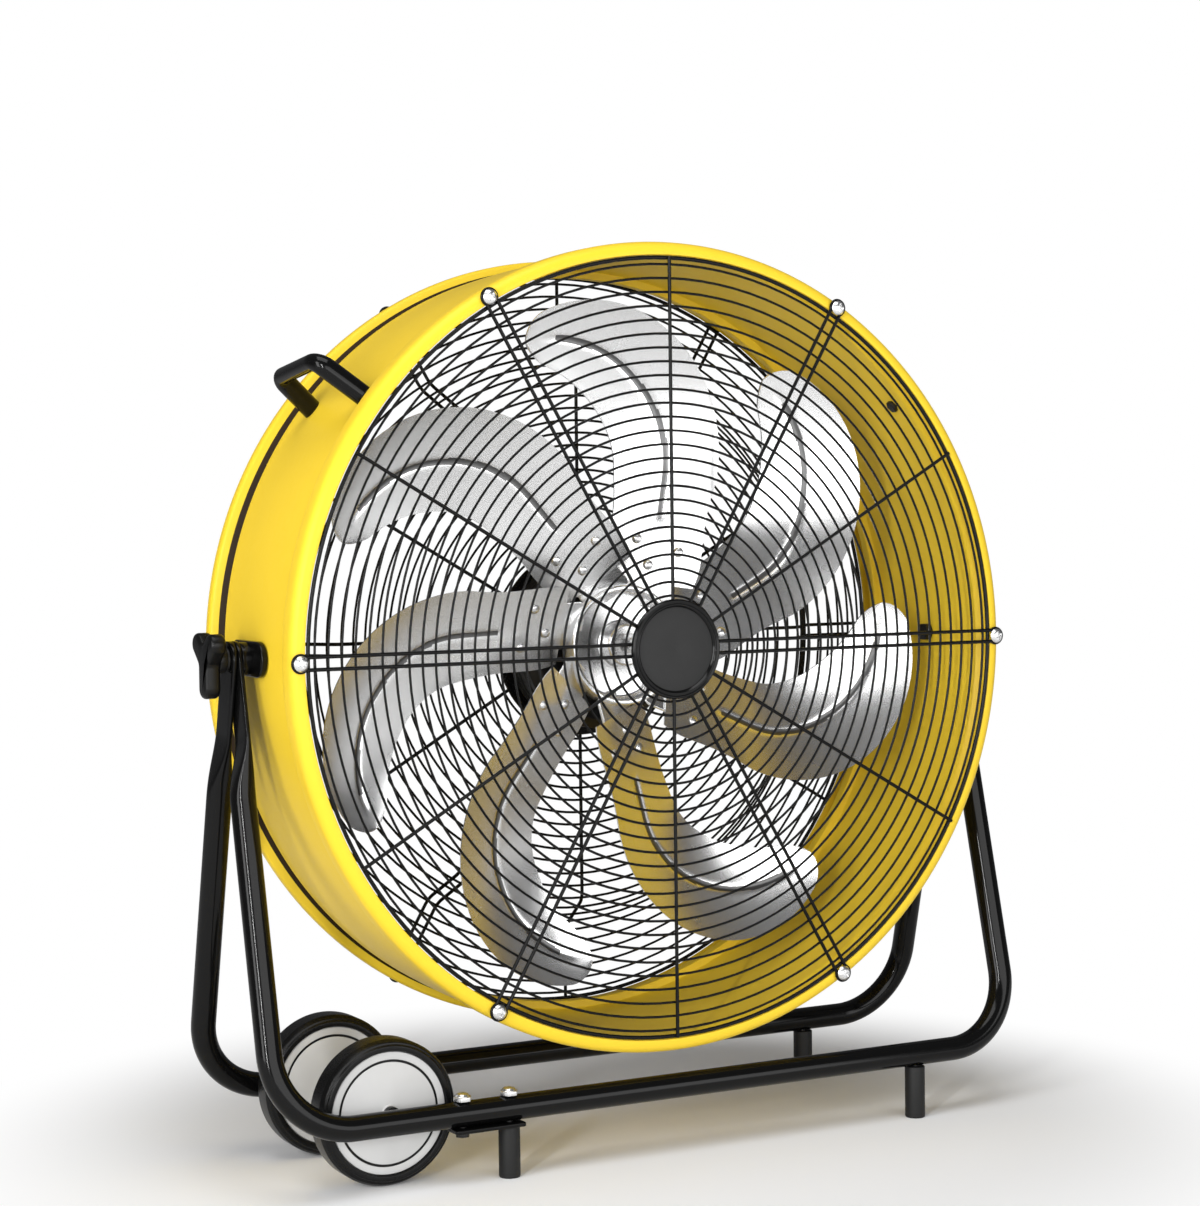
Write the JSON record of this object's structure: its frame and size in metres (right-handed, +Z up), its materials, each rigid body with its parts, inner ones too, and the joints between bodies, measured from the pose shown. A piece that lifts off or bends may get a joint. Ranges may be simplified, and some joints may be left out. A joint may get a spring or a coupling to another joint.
{
  "type": "drum fan",
  "caption": "Tilting drum fan: rolled yellow drum with wire guards, curved pressed blades and rear motor, on a bent tube stand with transport wheels and clamping knobs.",
  "frame": {"origin": "on the floor, below the middle of the whole object's bounding box", "axes": "+Z up; the outlet looks along -Y; +X is right as seen from the outlet; the tilt axis runs along X"},
  "size_m": [0.7224, 0.2102, 0.733],
  "materials": {
    "drum_shell": "semi-gloss yellow enamel on rolled sheet steel",
    "handle_bolts": "blackened steel",
    "wall_bolt": "blackened steel",
    "carry_handle": "black moulded plastic with a soft sheen",
    "front_grille": "black coated welded wire",
    "rear_grille": "black coated welded wire",
    "front_guard_screws": "zinc-plated pan heads",
    "rear_guard_screws": "zinc-plated pan heads",
    "cap_ring": "glossy black ring",
    "cap_disc": "dark charcoal, plain",
    "motor_housing": "black enamel",
    "motor_plate": "black enamel on steel plate",
    "motor_bolts": "zinc-plated",
    "switch_box": "black moulded plastic",
    "speed_knob": "black moulded plastic",
    "cord_gland": "black nylon",
    "motor_shaft": "ground steel",
    "fan_hub": "pressed and brushed",
    "hub_nut": "zinc-plated",
    "pivot_bracket_left": "black enamel",
    "pivot_bracket_right": "black enamel",
    "pivot_bolt_left": "zinc-plated",
    "pivot_bolt_right": "zinc-plated",
    "knob_washers": "blackened steel",
    "tilt_knob_left": "black moulded plastic",
    "tilt_knob_right": "black moulded plastic",
    "front_frame": "black enamel on steel tube",
    "rear_frame": "black enamel on steel tube",
    "wheel_axle": "zinc-plated rod",
    "axle_sleeves": "black plastic spacers",
    "tyre_front": "black rubber",
    "tyre_rear": "black rubber",
    "wheel_disc_front": "light grey moulded plastic",
    "wheel_disc_rear": "light grey moulded plastic",
    "wheel_side_plates": "black enamel on steel plate",
    "wheel_side_feet": "black rubber",
    "far_side_feet": "black rubber",
    "foot_bolts": "zinc-plated",
    "cap_nuts": "plated domed nuts",
    "blade_1": "rolled sheet, semi-polished",
    "blade_2": "rolled sheet, semi-polished",
    "blade_3": "rolled sheet, semi-polished",
    "blade_4": "rolled sheet, semi-polished",
    "blade_5": "rolled sheet, semi-polished",
    "blade_6": "rolled sheet, semi-polished",
    "blade_7": "rolled sheet, semi-polished"
  },
  "bodies": {
    "stand": {"front_frame": "front_frame", "rear_frame": "rear_frame", "wheel_axle": "wheel_axle", "axle_sleeves": "axle_sleeves", "wheel_side_plates": "wheel_side_plates", "wheel_side_feet": "wheel_side_feet", "far_side_feet": "far_side_feet", "foot_bolts": "foot_bolts", "cap_nuts": "cap_nuts", "knob_washers": "knob_washers"},
    "drum": {"drum_shell": "drum_shell", "handle_bolts": "handle_bolts", "wall_bolt": "wall_bolt", "carry_handle": "carry_handle", "front_grille": "front_grille", "rear_grille": "rear_grille", "front_guard_screws": "front_guard_screws", "rear_guard_screws": "rear_guard_screws", "cap_ring": "cap_ring", "cap_disc": "cap_disc", "motor_housing": "motor_housing", "motor_plate": "motor_plate", "motor_bolts": "motor_bolts", "switch_box": "switch_box", "cord_gland": "cord_gland", "pivot_bracket_left": "pivot_bracket_left", "pivot_bracket_right": "pivot_bracket_right", "pivot_bolt_left": "pivot_bolt_left", "pivot_bolt_right": "pivot_bolt_right"},
    "rotor": {"motor_shaft": "motor_shaft", "fan_hub": "fan_hub", "hub_nut": "hub_nut", "blade_1": "blade_1", "blade_2": "blade_2", "blade_3": "blade_3", "blade_4": "blade_4", "blade_5": "blade_5", "blade_6": "blade_6", "blade_7": "blade_7"},
    "speed_switch": {"speed_knob": "speed_knob"},
    "left_clamp": {"tilt_knob_left": "tilt_knob_left"},
    "right_clamp": {"tilt_knob_right": "tilt_knob_right"},
    "front_wheel": {"tyre_front": "tyre_front", "wheel_disc_front": "wheel_disc_front"},
    "rear_wheel": {"tyre_rear": "tyre_rear", "wheel_disc_rear": "wheel_disc_rear"}
  },
  "joints": [
    {"name": "drum_tilt", "type": "hinge", "parent": "stand", "child": "drum", "pos_m": [0, 0, 0.408], "axis": [1, 0, 0], "continuous": true},
    {"name": "fan_spin", "type": "hinge", "parent": "drum", "child": "rotor", "pos_m": [0, 0, 0.408], "axis": [0, -1, 0], "continuous": true},
    {"name": "speed_turn", "type": "hinge", "parent": "drum", "child": "speed_switch", "pos_m": [0, 0.09, 0.408], "axis": [0, -1, 0], "range_deg": [0, 120]},
    {"name": "left_clamp_turn", "type": "hinge", "parent": "drum", "child": "left_clamp", "pos_m": [-0.35, 0, 0.408], "axis": [1, 0, 0], "continuous": true},
    {"name": "right_clamp_turn", "type": "hinge", "parent": "drum", "child": "right_clamp", "pos_m": [0.35, 0, 0.408], "axis": [1, 0, 0], "continuous": true},
    {"name": "front_wheel_roll", "type": "hinge", "parent": "stand", "child": "front_wheel", "pos_m": [-0.24, -0.056, 0.057], "axis": [0, 1, 0], "continuous": true},
    {"name": "rear_wheel_roll", "type": "hinge", "parent": "stand", "child": "rear_wheel", "pos_m": [-0.24, 0.056, 0.057], "axis": [0, 1, 0], "continuous": true}
  ]
}
